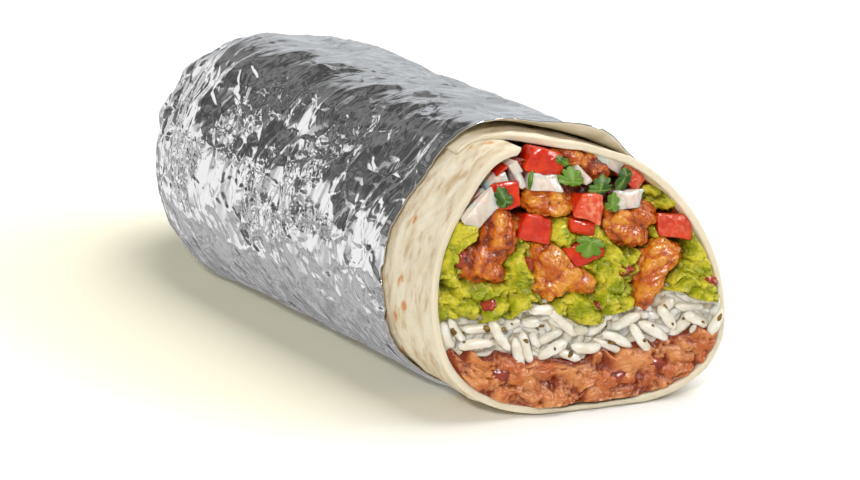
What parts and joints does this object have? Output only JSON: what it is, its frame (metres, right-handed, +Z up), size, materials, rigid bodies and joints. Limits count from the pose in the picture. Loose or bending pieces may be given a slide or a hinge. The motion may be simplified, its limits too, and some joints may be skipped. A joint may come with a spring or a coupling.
{
  "type": "burrito",
  "caption": "Foil-wrapped burrito cut open at one end: a rolled flour tortilla round layers of refried beans, rice, guacamole and chicken with salsa.",
  "frame": {"origin": "centre of the bounding box in X and Y, at the height of the surface that the burrito lies on", "axes": "+Z up; the roll lies along Y, its cut end facing -Y and its closed end facing +Y; +X is to the right as the cut is looked at"},
  "size_m": [0.0804, 0.1948, 0.0666],
  "materials": {
    "foil": "bright household foil with fine creases",
    "tortilla": "steamed flour tortilla, cream with tan mottling, stands as plastic of like density",
    "refried_beans": "moist pinkish-brown mash",
    "whole_bean": "dark red whole beans in the mash",
    "rice": "cooked long-grain rice, white and slightly translucent",
    "guacamole": "yellow-green, moist and lumpy",
    "chicken": "orange-brown grilled chicken, moist",
    "tomato": "fresh red tomato, wet",
    "onion": "raw white onion, translucent",
    "cilantro": "chopped cilantro leaves"
  },
  "bodies": {
    "root": {"cilantro_1": "cilantro", "cilantro_2": "cilantro", "cilantro_3": "cilantro", "cilantro_4": "cilantro", "cilantro_5": "cilantro", "cilantro_6": "cilantro", "cilantro_7": "cilantro", "cilantro_8": "cilantro", "onion_1": "onion", "onion_2": "onion", "onion_3": "onion", "onion_4": "onion", "onion_5": "onion", "onion_6": "onion", "onion_7": "onion", "onion_8": "onion", "tomato_1": "tomato", "tomato_2": "tomato", "tomato_3": "tomato", "tomato_4": "tomato", "tomato_5": "tomato", "tomato_6": "tomato", "tomato_7": "tomato", "tomato_8": "tomato", "tomato_9": "tomato", "chicken_1": "chicken", "chicken_2": "chicken", "chicken_3": "chicken", "chicken_4": "chicken", "chicken_5": "chicken", "chicken_6": "chicken", "bean_1": "whole_bean", "bean_2": "whole_bean", "bean_3": "whole_bean", "guacamole_dab": "guacamole", "foil": "foil", "tortilla": "tortilla", "refried_beans": "refried_beans", "rice": "rice", "guacamole": "guacamole", "chicken_filling": "chicken"}
  },
  "joints": []
}
